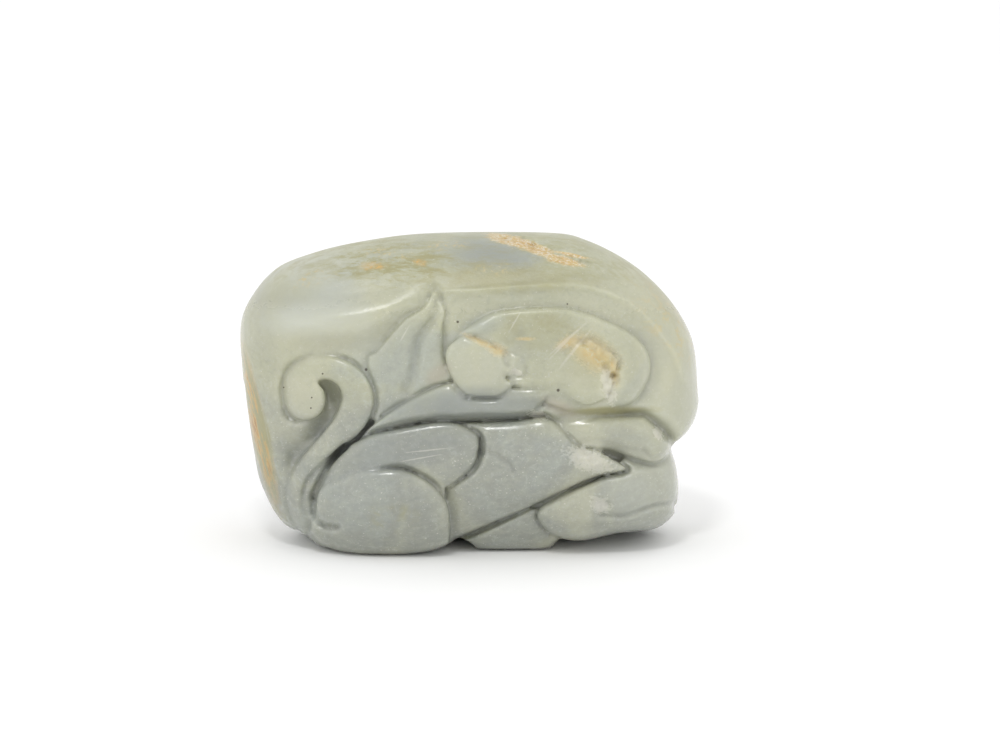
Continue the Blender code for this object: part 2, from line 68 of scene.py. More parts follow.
# An ellipse has a fullness of 2, a squarer swelling has more
FULLNESS = 2.25
SHEET_LEAN = math.radians(12)
TRIANGLES = 195000
CURVE_STEPS = 8

# Outline of the pebble before carving, and of the body left standing
PEBBLE = [(0.0, 49.6), (6.5, 58.6), (15.2, 62.6), (26.7, 65.3), (41.3, 67.0), (66.6, 67.1), (75.4, 65.4),
    (84.9, 60.5), (91.9, 54.4), (96.7, 47.8), (99.1, 41.3), (100.0, 30.7), (101.5, 20.4), (101.8, 9.4),
    (98.5, -0.5), (87.5, -8.2), (69.9, -11.5), (43.5, -11.9), (23.7, -10.4), (12.8, -4.9), (4.4, 9.6),
    (1.9, 19.3), (-0.3, 37.0)]
BODY = [(-3.5, 44.0), (-3, 52), (0, 57), (5, 61.5), (12.3, 64.8), (26.7, 69), (41.3, 71), (66.6, 71),
    (77.5, 68.5), (88, 63.5), (95.5, 57), (101, 49), (103, 41.3), (103, 32.9), (99.8, 27.0), (97.2, 23.2),
    (94.5, 20.9), (92.9, 19.5), (92.3, 14.9), (92.3, 8.3), (88.6, 4.3), (78.7, 2.1), (69.9, 0.8),
    (62, -0.6), (53, -1.2), (47.2, 0.2), (42, -3.5), (36, -5), (22.5, -4.6), (15.6, -0.6), (12.9, 1.9),
    (10.9, 1.7), (7.4, 3.4), (2.8, 8.9), (-0.5, 19.3), (-2.2, 30.0)]

# The front, left lower than the mantle round it, and the bed the tail lies in
FRONT = [(4.4, 39.1), (9.5, 39.9), (16.0, 40.8), (29.0, 40.8), (33.0, 43.9), (41.8, 52.7), (46.8, 53.8),
    (66.6, 55.2), (75.4, 54.7), (83.1, 51.8), (90.5, 44.1), (91.4, 36.9), (90.1, 29.2), (91.9, 21.5),
    (105.1, 19.3), (105.1, -18.1), (17.1, -18.1), (12.7, -1.6), (10.5, 7.2), (7.7, 14.9), (5.3, 30.3)]
TAIL_BED = [(6.4, 32.5), (9.4, 38.2), (16.7, 40.9), (25.5, 40.3), (31.0, 33.6), (29.0, 23.7),
    (21.5, 16.5), (15.2, 8.5), (13.0, 5.0), (11.2, 8.2), (8.4, 14.2), (6.2, 21.5)]
MANTLE_FLUTE = [(4.4, 39.8), (8.4, 40.7), (14.0, 41.4), (21.5, 41.4), (26.5, 41.9), (31.1, 44.2),
    (35.5, 48.6), (39.0, 51.2), (40.5, 53.5)]
MANTLE_VALLEY = [(4.4, 51.6), (12.7, 51.8), (23.7, 53.1), (34.7, 54.4), (43.5, 54.9)]
MANTLE_LOBE = [(7.3, 48.3), (20.4, 48.5), (30.3, 50.9), (36.9, 53.1)]
MANTLE_RIDGE = [(40.2, 54.2), (50.1, 54.2), (69.9, 55.5), (78.7, 54.2), (86.4, 50.3), (94.1, 41.3),
    (96.7, 34.7)]

# Carved forms of the front
LENS = [(46.4, 43.9), (52.6, 48.5), (58.2, 50.2), (70.9, 50.6), (81.4, 47.1), (86.3, 44.0), (88.8, 40.8),
    (89.3, 36.6), (87.8, 32.7), (85.6, 30.0), (82.1, 28.2), (75.8, 27.4), (71.0, 27.8), (65.5, 29.8),
    (56.7, 30.3), (47.9, 31.4), (45.1, 38.0)]
LEAF = [(28.7, 25.9), (29.2, 29.7), (28.7, 33.6), (27.3, 37.3), (27.5, 40.2), (29.5, 41.6), (34.8, 47.7),
    (39.5, 50.8), (42.2, 54.3), (44.5, 49.9), (44.1, 46.7), (44.3, 40.2), (45.7, 34.4), (41.7, 33.3),
    (32.7, 28.1)]
LEAF_FOLD = [(42.6, 52.2), (41.7, 48.1), (38.4, 43.2), (37.4, 36.4), (35.8, 32.5)]
BAND = [(25.9, 21.6), (27.7, 24.1), (34.4, 29.3), (44.2, 33.9), (50.1, 33.8), (65.5, 32.9), (68.1, 32.6),
    (66.2, 30.3), (61.8, 26.5), (58.5, 26.2), (49.8, 26.1), (45.6, 26.6), (40.7, 26.1), (30.2, 23.0)]
FOOT_UNDER = [(46.8, 0.4), (48.4, -0.2), (50.4, -1.6), (52.3, -4.9), (66.6, -4.9), (68.1, -1.6),
    (69.5, 0.2), (67.3, 1.5), (64.6, 4.5), (64.3, 6.5), (56.7, 6.1), (50.1, 2.8)]
HOOF = [(65.5, 7.4), (69.9, 9.8), (79.3, 14.0), (85.3, 19.3), (89.7, 19.3), (93.7, 19.3), (95.6, 13.8),
    (95.7, 8.0), (94.9, 6.9), (94.8, 5.0), (90.7, 2), (82.5, 1.2), (74.1, -0.5), (67.9, 0.7),
    (64.5, 4.4)]
HOOF_CLEFT = [(78.2, 5.2), (81.5, 5.0), (84.6, 5.3), (90.9, 7.5), (97.1, 8.2)]
PAW = [(66.6, 22.4), (68.1, 25.9), (71.2, 27.1), (80.4, 27.1), (86.3, 27.1), (88.8, 26.4), (93.2, 22.1),
    (93.4, 18.7), (90.5, 16.6), (86.6, 17.1), (79.8, 19.3), (77.3, 18.0), (68.8, 18.2)]
LEG = [(45.2, -0.7), (44.8, 3.9), (44.2, 9.2), (44.6, 14.9), (45.7, 23.7), (47.5, 25.3), (58.9, 25.9),
    (64.4, 26.6), (67.0, 26.4), (69.2, 25.0), (73.6, 20.6), (77.8, 19.5), (83.5, 16.0), (83.1, 14.8),
    (76.2, 13.2), (63.0, 7.0), (47.8, 0.3)]
LEG_CRACK = [(52.0, 19.0), (53.5, 19.1), (54.8, 18.7), (58.3, 16.6), (59.1, 15.1)]
KNEE = [(16.4, 8.3), (16.7, 12.4), (20.0, 17.9), (25.8, 21.8), (31.6, 23.7), (44.4, 25.7), (50.7, 23.5),
    (51.9, 21.0), (51.5, 17.9), (49.8, 15.0), (45.5, 11.7), (44.4, 11.1), (42.6, 8.3), (30.3, 8.3)]
HAUNCH = [(16.2, 10.6), (20.7, 13.0), (24.3, 14.7), (32.1, 15.5), (36.4, 14.8), (40.7, 12.6),
    (43.8, 9.4), (45.2, 5.9), (45.3, -0.2), (43.6, -1.9), (39, -3.4), (33, -4.2), (25, -4.2),
    (18.8, -2.4), (15.2, 0.2), (14.6, 2.4), (15.2, 6.0)]
HAUNCH_HOOK = [(22.3, 20.0), (19.2, 16.6), (17.2, 13.2), (15.9, 9.8), (15.5, 6.2), (16.0, 4.6), (17.1, 3.3),
    (18.6, 2.7), (20.6, 2.6)]
FIST = [(48.0, 44.5), (44.6, 41.5), (44.9, 36.8), (47.8, 32.3), (50.2, 31.2), (56.0, 31.2), (59.0, 33.3),
    (59.1, 34.4), (57.8, 35.3), (60.9, 35.4), (62.0, 36.5), (61.2, 40.2), (55.8, 41.8), (54.1, 43.0),
    (50.2, 44.3)]
STUMP = [(67.3, 35.8), (70.5, 43.5), (74.7, 43.7), (77.1, 43.5), (81.8, 39.9), (82.3, 38.2),
    (81.6, 36.2), (81.9, 34.9), (80.8, 33.3), (80.4, 31.4), (79.4, 30.6), (74.7, 29.2), (68.4, 32.0),
    (66.6, 32.9)]

# Middle line of the tail with its half width, from the root below to the ball at its end
TAIL = [(13.4, 2.0, 1.3), (12.1, 4.8, 1.6), (11.3, 7.6, 1.8), (11.3, 10.6, 2.0), (12.4, 13.9, 2.1),
    (15.5, 17.6, 2.3), (19.1, 21.2, 2.6), (22.6, 24.6, 3.3), (24.6, 27.8, 3.7), (25.3, 30.9, 3.7),
    (24.2, 34.2, 3.4), (21.8, 36.5, 3.0), (18.7, 37.5, 2.9), (15.6, 37.1, 3.2), (13.6, 35.3, 4.1),
    (13.2, 33.3, 4.6), (13.6, 30.5, 4.8)]

# Hollow inside the tail's curl and down beside its stem, with its depth
TAIL_HOLLOW = [(19.3, 31.4, 4.5), (20.0, 27.6, 4.5), (17.6, 23.2, 4.3), (14.2, 19.2, 2.6), (10.8, 14.5, 1.0),
    (9.4, 9.5, 0.2)]

# Lower edge of the mantle across the back
BACK_MANTLE = [(-8, 30), (8, 37), (30, 42), (52, 43), (74, 41), (92, 33), (110, 24)]

# Chips and breaks: outline, depth, roughness, width of the roughness, seed
LEG_CHIP = [(72.5, 19.6), (75.3, 19.9), (78.7, 19.0), (81.4, 17.6), (83.4, 15.6), (81.3, 14.9), (78.7, 15.3),
    (76.4, 14.4), (74.3, 15.6), (72.8, 17.5)]
HOOF_CHIP = [(76.9, 8.6), (78.4, 9.3), (80.4, 8.6), (80.9, 6.4), (79.1, 5.7), (77.2, 6.6)]
PAW_CHIP = [(90.8, 24.1), (92.1, 23.6), (92.7, 21.9), (91.6, 21.3), (90.6, 22.3)]
FIST_BREAK = [(57.3, 41.2), (60.9, 40.4), (61.9, 38.0), (61.0, 35.9), (58.6, 35.9), (57.0, 37.4),
    (56.6, 40.0)]
STUMP_BREAK = [(72.5, 43.6), (76.8, 43.4), (81.6, 39.6), (81.9, 36.0), (80.4, 31.6), (78.6, 32.4),
    (78.8, 36.5), (76.2, 40.4)]
FISSURE_BED = [(54.5, 66.6), (61.0, 66.2), (67.0, 64.0), (75.5, 61.2), (75.5, 59.8), (68.0, 61.0),
    (61.0, 63.8), (56.0, 65.4)]
CHIPS = [(LEG_CHIP, 0.25, 0.3, 0.8, 1), (HOOF_CHIP, 0.2, 0.25, 0.7, 2), (PAW_CHIP, 0.15, 0.15, 0.7, 3),
    (FIST_BREAK, 0.2, 0.45, 1.0, 4), (STUMP_BREAK, 0.2, 0.5, 1.0, 5), (FISSURE_BED, 0.15, 0.25, 0.8, 6)]

# Fine lines cut or cracked into the front: line, depth, width
FINE_LINES = [(MANTLE_RIDGE, -0.2, 0.5),
    ([(73.4, 21.1), (77.8, 21.5), (80.0, 20.8), (85.0, 19.3), (88.7, 18.6)], 0.45, 0.8),
    ([(87.6, 19.9), (88.2, 18.9), (89.2, 17.7)], 0.35, 0.4),
    ([(89.8, 17.9), (91.5, 18.2), (93.1, 19.0)], 0.35, 0.4),
    ([(36.9, 37.3), (37.9, 39.1), (38.1, 40.9), (38.4, 43.2), (39.5, 45.4), (40.6, 46.7), (41.7, 48.1)],
    0.25, 0.4)]

# How many times the skin is evened to rub out the grid, and to tell grooves from swellings
SKIN_ROUNDS = 3
HOLLOW_ROUNDS = 24


def ramp(value, start, end):
    """Soft step from 0 at start to 1 at end."""
    share = np.clip((value - start) / (end - start), 0, 1)
    return share * share * (3 - 2 * share)


def overlap(first, second, rounding):
    """What two solids share, its outer edge rounded."""
    corner = np.hypot(np.maximum(first + rounding, 0), np.maximum(second + rounding, 0))
    return np.minimum(np.maximum(first, second), -rounding) + corner


def union(first, second, rounding):
    """Two solids joined, the inner corner between them filled."""
    return -overlap(-first, -second, rounding)


def curve(points, closed):
    """Even curve through the points, as many short straight steps."""
    points = np.array(points, float)
    if closed:
        before, start, end, after = (np.roll(points, shift, 0) for shift in (1, 0, -1, -2))
    else:
        ends = [2 * points[:1] - points[1:2], points, 2 * points[-1:] - points[-2:-1]]
        padded = np.vstack(ends)
        before, start, end, after = padded[:-3], padded[1:-2], padded[2:-1], padded[3:]
    share = (np.arange(CURVE_STEPS) / CURVE_STEPS)[None, :, None]
    before, start, end, after = (corner[:, None, :] for corner in (before, start, end, after))
    line = start + 0.5 * share * (end - before)
    line = line + share ** 2 * (before - 2.5 * start + 2 * end - 0.5 * after)
    line = line + share ** 3 * (1.5 * start - 0.5 * before - 1.5 * end + 0.5 * after)
    line = line.reshape(-1, points.shape[1])
    return line if closed else np.vstack([line, points[-1]])


class Stone:
    """The stone while it is carved: depths on a grid, negative inside, in hundredths of the length."""

    def __init__(self, grain):
        self.grain = grain
        rows = [np.arange(low, high, grain) for low, high in BLOCK.values()]
        self.across, self.up = np.meshgrid(rows[0], rows[1], indexing="ij")
        self.out = rows[2][None, None, :].astype(np.float32)
        self.low = np.array([low for low, high in BLOCK.values()])
        self.skin = self.pebble()
        self.field = self.skin.copy()

    def distance(self, points, closed=False):
        """Distance from a curve, and how far along it the nearest place lies."""
        line = curve(points, closed)
        ends = np.roll(line, -1, 0) if closed else line[1:]
        best = np.full(self.across.shape, np.inf)
        along = np.zeros_like(best)
        for number, (start, end) in enumerate(zip(line, ends)):
            step = end[:2] - start[:2]
            share = (self.across - start[0]) * step[0] + (self.up - start[1]) * step[1]
            share = np.clip(share / (step @ step), 0, 1)
            gap = np.hypot(self.across - start[0] - share * step[0], self.up - start[1] - share * step[1])
            nearer = gap < best
            best = np.where(nearer, gap, best)
            along = np.where(nearer, number + share, along)
        return best, along

    def depth_inside(self, outline):
        """Distance from an outline, positive within it and negative outside."""
        line = curve(outline, True)
        within = np.zeros(self.across.shape, bool)
        for start, end in zip(line, np.roll(line, -1, 0)):
            if start[1] == end[1]:
                continue
            beside = (start[1] > self.up) != (end[1] > self.up)
            edge = start[0] + (end[0] - start[0]) * (self.up - start[1]) / (end[1] - start[1])
            within ^= beside & (self.across < edge)
        gap = self.distance(outline, True)[0]
        return np.where(within, gap, -gap)

    def softened(self, sheet, width):
        """A sheet of values with its creases rubbed out over the width."""
        reach = int(math.ceil(3 * width / self.grain))
        weights = np.exp(-0.5 * (np.arange(-reach, reach + 1) * self.grain / width) ** 2)
        weights /= weights.sum()
        for axis in (0, 1):
            size = sheet.shape[axis]
            padding = [(reach, reach) if side == axis else (0, 0) for side in (0, 1)]
            padded = np.pad(sheet, padding, mode="edge")
            parts = (padded.take(range(n, n + size), axis) * w for n, w in enumerate(weights))
            sheet = sum(parts)
        return sheet

    def roughness(self, width, seed):
        """Random height of about the width, evened out, the same on every run."""
        values = np.random.default_rng(seed).standard_normal(self.across.shape)
        values = self.softened(values, width)
        return values / values.std()

    def pebble(self):
        """Skin of the uncarved pebble, swelling from its outline towards the middle, front and back."""
        depth = self.depth_inside(PEBBLE)
        inner = ramp(depth, 0, 11)
        depth = depth * (1 - inner) + self.softened(depth, 3.8) * inner
        share = np.maximum(1 - depth / SWELLING, 0)[:, :, None].astype(np.float32)
        size = (share ** FULLNESS + np.abs(self.out / HALF_DEPTH) ** FULLNESS) ** (1 / FULLNESS)
        return (size - 1) * HALF_DEPTH

    def sink(self, amount, side=1):
        """Lowers one side of the stone by an amount given for each place on the sheet."""
        self.field = self.field + amount[:, :, None] * ramp(side * self.out, -5, 5)

    def score(self, points, depth, width):
        """Cuts a rounded line into the front."""
        gap = self.distance(points)[0]
        amount = depth * np.exp(-(gap / width) ** 2)
        self.field = self.field + amount[:, :, None] * ramp(self.out, -1, 1)

    def raise_form(self, depth, foot, crown, over, edge=0.6, ditch=1.2, bank=2.5, brim=0.8, back=-5,
                   back_edge=0.8, join=0.3, lean=0, soft=0.9, bed=4, side=1):
        """Raises one form from the side of the stone.

        The ditch round it is cut first, no deeper than the bed, with an even bank up to a rounded
        brim.  The form's rim then stands at its foot's depth below the pebble's skin, and its crown
        swells over a distance from the rim.
        """
        valley = np.maximum(foot + ditch - bank * np.maximum(-depth, 0), -4)
        inner = ramp(depth, 0, 1.9)
        rise = self.softened(np.maximum(depth, 0), soft) * inner + depth * (1 - inner)
        height = foot - crown * np.sqrt(1 - (1 - np.clip(rise / over, 0, 1)) ** 2)

        near = np.argwhere((depth > -1) | (valley > -2.5))
        near = tuple(slice(low, high + 1) for low, high in zip(near.min(0), near.max(0)))
        valley, height, depth = (sheet[near][:, :, None] for sheet in (valley, height, depth))
        out, skin = side * self.out, self.skin[near]
        field = overlap(self.field[near], np.minimum(skin + valley, out - bed), brim)
        top = skin + height
        form = overlap(top, lean * np.clip(-top, 0, 7.5) - depth, edge)
        form = overlap(form, back - out, back_edge)
        self.field[near] = union(field, form, join)

    def slope(self, at, value, across=0, up=0):
        """Sheet of values that has the value at one place and changes evenly across and up."""
        return value + across * (self.across - at[0]) + up * (self.up - at[1])


def carve_mantle(stone):
    """Lowers the front below the mantle, with the lobe, the flutes and the thin ridge of its edge."""
    front = stone.depth_inside(FRONT)
    lower = ramp(27 - stone.up, -1, 3) * ramp(stone.across, 17, 22.5) * (1 - 0.5 * ramp(stone.across, 82, 92))
    amount = (1.2 + 1.6 * ramp(45 - stone.across, 0, 14)) * ramp(front, -6, 9)
    amount = amount + 6 * lower * ramp(front, -0.5, 3)
    flute = 2.4 * np.exp(-(stone.distance(MANTLE_FLUTE)[0] / 3.2) ** 2)
    amount = amount + flute * ramp(stone.across, 8, 20) * ramp(51 - stone.up, 0, 8)
    valley = 0.8 * np.exp(-(stone.distance(MANTLE_VALLEY)[0] / 3) ** 2)
    amount = amount + valley * ramp(42 - stone.across, 0, 12)
    amount = amount - 0.6 * np.exp(-(stone.distance(MANTLE_LOBE)[0] / 4.2) ** 2)
    ridge = 0.3 * np.exp(-stone.distance(MANTLE_RIDGE)[0] ** 2)
    amount = amount - ridge * ramp(stone.across, 42, 52)
    stone.sink(amount)


def carve_tail_bed(stone):
    """Sinks the bed of the tail, deepest inside its curl and down beside its stem."""
    bed = stone.depth_inside(TAIL_BED)
    gap, along = stone.distance(TAIL_HOLLOW)
    line = curve(TAIL_HOLLOW, False)
    hollow = np.interp(along, np.arange(len(line)), line[:, 2]) * np.exp(-(gap / 4) ** 2)
    amount = 3.2 * ramp(bed, -4, 6) + hollow * ramp(bed, -1.9, 4)
    floor = np.minimum(stone.skin + amount[:, :, None], stone.out - 5.6)
    floor = np.where(amount[:, :, None] > 0, floor, stone.field)
    stone.field = np.maximum(stone.field, floor)


def raise_body(stone):
    """Lens, leaf and band, which lie deepest of the forms."""
    low = np.maximum(ramp(stone.across, 80, 88), ramp(35 - stone.up, 0, 4))
    lens = stone.depth_inside(LENS)
    stone.raise_form(lens, 1.5 + 0.9 * low, 1.1, 3.2, ditch=0.9 * low - 0.2, bank=0.5, brim=1.5)
    shoulder = ramp(58 - stone.across, 0, 6) * ramp(stone.up, 42, 45)
    stone.sink((-0.3 - 0.5 * shoulder) * np.exp(-((lens - 1 - 0.5 * shoulder) / (0.7 + 0.5 * shoulder)) ** 2))
    fold = 1.2 * np.exp(-(stone.distance(LEAF_FOLD)[0] / 1.4) ** 2)
    foot = stone.slope((36, 38), 3.7, across=-0.03) - 2.9 * ramp(stone.up, 41, 54) + fold
    stone.raise_form(stone.depth_inside(LEAF), foot, 1.3, 2.8, edge=0.8, ditch=0.1, bank=0.8, brim=1.2)
    open_end = ramp(stone.across, 56, 64) * ramp(stone.up, 29, 32)
    stone.raise_form(stone.depth_inside(BAND), 2.9 - open_end, 1.9, 3.2, edge=0.8, ditch=1.2 - 3 * open_end)


def raise_tail(stone):
    """The tail, rising from below and curling over to a ball."""
    gap, along = stone.distance(TAIL)
    line = curve(TAIL, False)
    half_width = np.interp(along, np.arange(len(line)), line[:, 2])
    foot = stone.slope((21.5, 26), 4.2, across=-0.03) - 1.7 * ramp(24 - stone.up, 0, 16)
    ditch = 0.5 - 2 * ramp(stone.up - 25, 0, 5) * ramp(24 - stone.across, 0, 8)
    ditch = ditch - 2.5 * ramp(20 - stone.up, 0, 8)
    ditch = ditch - 3 * ramp(19 - stone.up, 0, 5) * ramp(stone.across, 11.5, 13)
    stone.raise_form(half_width - gap, foot, 1.9, 2.4, edge=0.9, ditch=ditch, bank=1.6, join=0.9, lean=0.1,
                     bed=5.6)


def raise_feet(stone):
    """The foot below, the cloven hoof, the forearm with its paw, and the leg across them."""
    stone.raise_form(stone.depth_inside(FOOT_UNDER), 6.7, 1.5, 3.8)
    stone.raise_form(stone.depth_inside(HOOF), 5, 2.5, 5.6, edge=1.5, ditch=1.7, back=-15, back_edge=9)
    end = ramp(stone.across, 80, 92)
    foot = 6.1 + 1.2 * ramp(80 - stone.across, 0, 12) - 3.4 * end
    ditch = 0.8 - 4 * ramp(88 - stone.across, 0, 18)
    stone.raise_form(stone.depth_inside(PAW), foot, 3.8 - 1.4 * end, 4, edge=1.5, ditch=ditch, bank=1.5,
                     brim=1.6, back=-4, join=1.2, soft=1.2)
    foot = stone.slope((55, 15), 6, across=-0.06, up=-0.06)
    ditch = 1.9 - 2.2 * ramp(stone.across - 66, 0, 5) * ramp(stone.up, 18, 20)
    stone.raise_form(stone.depth_inside(LEG), foot, 3.5, 6.2, ditch=ditch, bank=2.8)


def raise_haunch(stone):
    """The knee lobe and the round haunch in front of it."""
    ditch = 1.8 - 2.6 * ramp(30 - stone.across, 0, 12)
    bank = 2.5 - 1.6 * ramp(30 - stone.across, 0, 8)
    stone.raise_form(stone.depth_inside(KNEE), 4.2, 2, 3.8, edge=0.8, ditch=ditch, bank=bank, join=0.6)
    left = ramp(18 - stone.across, 0, 3)
    ditch = 2.2 - 6 * ramp(36 - stone.across, 0, 14) + 3.6 * left
    foot = 3.2 - 1.2 * ramp(20 - stone.across, 0, 6)
    stone.raise_form(stone.depth_inside(HAUNCH), foot, 4.2, 13, ditch=ditch, bank=2.5 - 1.5 * left, back=-15,
                     back_edge=9, join=1.4, soft=2.5)


def raise_broken_stubs(stone):
    """The two stubs left standing on the lens where the stone broke away."""
    low = ramp(43 - stone.up, 0, 7)
    ditch = 0.9 * low - 0.2 - 1.4 * ramp(stone.across, 55, 60)
    stone.raise_form(stone.depth_inside(FIST), 1 + 0.8 * low, 2.2 + 0.6 * low, 4.5, ditch=ditch, bank=1.2,
                     lean=0.12, soft=1.5)
    foot = 1.4 + 1.3 * ramp(74 - stone.across, 0, 6)
    ditch = 0.4 - 5 * ramp(76 - stone.across, 0, 6) - 0.8 * ramp(stone.up, 38, 43)
    stone.raise_form(stone.depth_inside(STUMP), foot, 1.6, 3, ditch=ditch, bank=1, soft=1.3)


def carve_back(stone):
    """The plainer back: the mantle's edge over the same leg, knee and haunch, all soft and shallow."""
    line = curve(BACK_MANTLE, False)
    edge = np.interp(stone.across, line[:, 0], line[:, 1])
    stone.sink(1.5 * ramp(edge - stone.up, -1.5, 2.5), side=-1)
    for outline, foot, crown, over in ((LEG, 3.4, 2.6, 7), (KNEE, 2.8, 1.8, 5), (HAUNCH, 2.4, 2.8, 11)):
        stone.raise_form(stone.depth_inside(outline), foot, crown, over, edge=1.6, ditch=0.7, bank=1.5,
                         back=-3, join=0.8, soft=2, side=-1)


def carved_stone():
    """The whole carving, the hindmost forms first."""
    stone = Stone(GRAIN)
    carve_mantle(stone)
    carve_tail_bed(stone)
    carve_back(stone)
    stone.field = overlap(stone.field, -stone.depth_inside(BODY)[:, :, None], BODY_ROUNDING)
    raise_body(stone)
    raise_tail(stone)
    raise_feet(stone)
    raise_haunch(stone)
    raise_broken_stubs(stone)
    fine_relief(stone)
    stone.score(HAUNCH_HOOK, 1.3, 0.8)
    stone.score(HOOF_CLEFT, 0.8, 0.6)
    stone.score(LEG_CRACK, 0.6, 0.6)
    height = stone.up[:, :, None] / math.cos(SHEET_LEAN) + stone.out * math.sin(SHEET_LEAN)
    stone.field = overlap(stone.field, -height - UNDERSIDE_DROP, UNDERSIDE_ROUNDING)
    return stone


def at_corner(values, corner):
    """The values at one corner of every small cube of the grid."""
    return values[tuple(slice(step, n - 1 + step) for step, n in zip(corner, values.shape))]


def without_slits(field, grain):
    """Fills slits and pinholes too fine for the grid, where solid places would only touch at an edge."""
    field = field.copy()
    loose = True
    while loose:
        inside = field < 0
        walls = sum(np.roll(inside, step, axis).astype(np.int8) for axis in (0, 1, 2) for step in (1, -1))
        fill = ~inside & (walls > 4)
        for first in CORNERS:
            for second in CORNERS:
                free = [axis for axis in (0, 1, 2) if first[axis] != second[axis]]
                if len(free) < 2 or first > second:
                    continue
                fixed = [axis for axis in (0, 1, 2) if axis not in free]
                around = [c for c in CORNERS if all(c[axis] == first[axis] for axis in fixed)]
                others = [corner for corner in around if corner not in (first, second)]
                ends = at_corner(inside, first), at_corner(inside, second)
                rest = [at_corner(inside, corner) for corner in others]
                solid = ends[0] & ends[1] & ~np.any(rest, 0)
                hollow = ~ends[0] & ~ends[1] & np.all(rest, 0)
                for corner in others:
                    at_corner(fill, corner)[...] |= solid
                for corner in (first, second):
                    at_corner(fill, corner)[...] |= hollow
        loose = fill.any()
        field[fill] = -0.2 * grain
    return field


def skin_of(stone):
    """Corners and four-sided faces where the field changes sign.

    Each small cube of the grid that the skin passes through gets one corner, at the mean of the
    places where the skin crosses its edges, and each grid edge it crosses joins four of them.
    """
    field = without_slits(stone.field, stone.grain)
    inside = field < 0
    filled = sum(at_corner(inside, corner).astype(int) for corner in CORNERS)
    crossed = (filled > 0) & (filled < 8)
    number = np.full(crossed.shape, -1)
    number[crossed] = np.arange(crossed.sum())
    values = {corner: at_corner(field, corner)[crossed] for corner in CORNERS}
    place = np.zeros((crossed.sum(), 3))
    hits = np.zeros(len(place))
    for start in CORNERS:
        for axis in (0, 1, 2):
            if start[axis]:
                continue
            end = tuple(1 if n == axis else value for n, value in enumerate(start))
            first, second = values[start], values[end]
            hit = (first < 0) != (second < 0)
            share = first[hit] / (first[hit] - second[hit])
            place[hit] += np.array(start)
            place[hit, axis] += share
            hits[hit] += 1
    place = place / hits[:, None] + np.argwhere(crossed)

    faces = []
    for axis in (0, 1, 2):
        second, third = (axis + 1) % 3, (axis + 2) % 3
        first_side, other_side = np.swapaxes(inside, 0, axis)[:-1], np.swapaxes(inside, 0, axis)[1:]
        edges = np.argwhere(np.swapaxes(first_side != other_side, 0, axis))
        ring = []
        for back, down in ((1, 1), (0, 1), (0, 0), (1, 0)):
            cube = edges.copy()
            cube[:, second] -= back
            cube[:, third] -= down
            ring.append(number[tuple(cube.T)])
        ring = np.stack(ring, 1)
        outward = inside[tuple(edges.T)]
        faces.append(np.where(outward[:, None], ring, ring[:, ::-1]))
    return place * stone.grain + stone.low, np.vstack(faces)


def evened(places, faces, rounds):
    """Corners drawn towards the mean of their neighbours and back, which rubs out the grid's steps."""
    starts, ends = faces.ravel(), np.roll(faces, -1, 1).ravel()
    count = np.bincount(starts, minlength=len(places))[:, None]
    for amount in (0.5, -0.52) * rounds:
        means = [np.bincount(starts, places[ends, axis], len(places)) for axis in (0, 1, 2)]
        places = places + amount * (np.stack(means, 1) / count - places)
    return places


def upright(places):
    """From the leaning sheet to the standing stone: right, back and up, in metres."""
    across, up, out = places.T
    depth = -out * math.cos(SHEET_LEAN)
    height = up / math.cos(SHEET_LEAN) + out * math.sin(SHEET_LEAN) + UNDERSIDE_DROP - UNDERSIDE_CUT
    stood = np.stack([across, depth, height], 1) * HUNDREDTH
    middle = (stood.max(0) + stood.min(0)) / 2
    return stood - [middle[0], middle[1], 0]


def fine_relief(stone):
    """Breaks, chips and cracks, each a soft-edged sheet of depth taken off the front of the stone."""
    for outline, depth, rough, width, seed in CHIPS:
        within = ramp(stone.depth_inside(outline), -0.5, 1.1)
        coarse = np.abs(stone.roughness(width, seed))
        fine = stone.roughness(width / 2.5, seed + 50)
        stone.sink(within * (depth + rough * coarse + 0.35 * rough * fine))
    for line, depth, width in FINE_LINES:
        stone.score(line, depth, width)


def stone_surface():
    """Corners and faces of the whole stone, on the ground, centred where its solid is."""
    stone = carved_stone()
    places, faces = skin_of(stone)
    places = upright(evened(places, faces, SKIN_ROUNDS))
    places[:, 2] = np.maximum(places[:, 2], 0)
    return places, faces


def mesh_of(name, places, faces):
    """A mesh from rows of corners and rows of corner numbers."""
    mesh = bpy.data.meshes.new(name)
    mesh.vertices.add(len(places))
    mesh.vertices.foreach_set("co", places.astype(np.float32).ravel())
    sides = faces.shape[1]
    mesh.loops.add(faces.size)
    mesh.loops.foreach_set("vertex_index", faces.astype(np.int32).ravel())
    mesh.polygons.add(len(faces))
    mesh.polygons.foreach_set("loop_start", np.arange(0, faces.size, sides, dtype=np.int32))
    mesh.update(calc_edges=True)
    mesh.validate()
    return mesh


def thinned(mesh, triangles):
    """The mesh with its flattest faces merged until it has so many triangles."""
    holder = bpy.data.objects.new("thinned", mesh)
    bpy.context.scene.collection.objects.link(holder)
    fewer = holder.modifiers.new("fewer", "DECIMATE")
    fewer.ratio = min(1, triangles / sum(len(face.vertices) - 2 for face in mesh.polygons))
    shape = bpy.data.meshes.new_from_object(holder.evaluated_get(bpy.context.evaluated_depsgraph_get()))
    bpy.data.objects.remove(holder)
    return shape


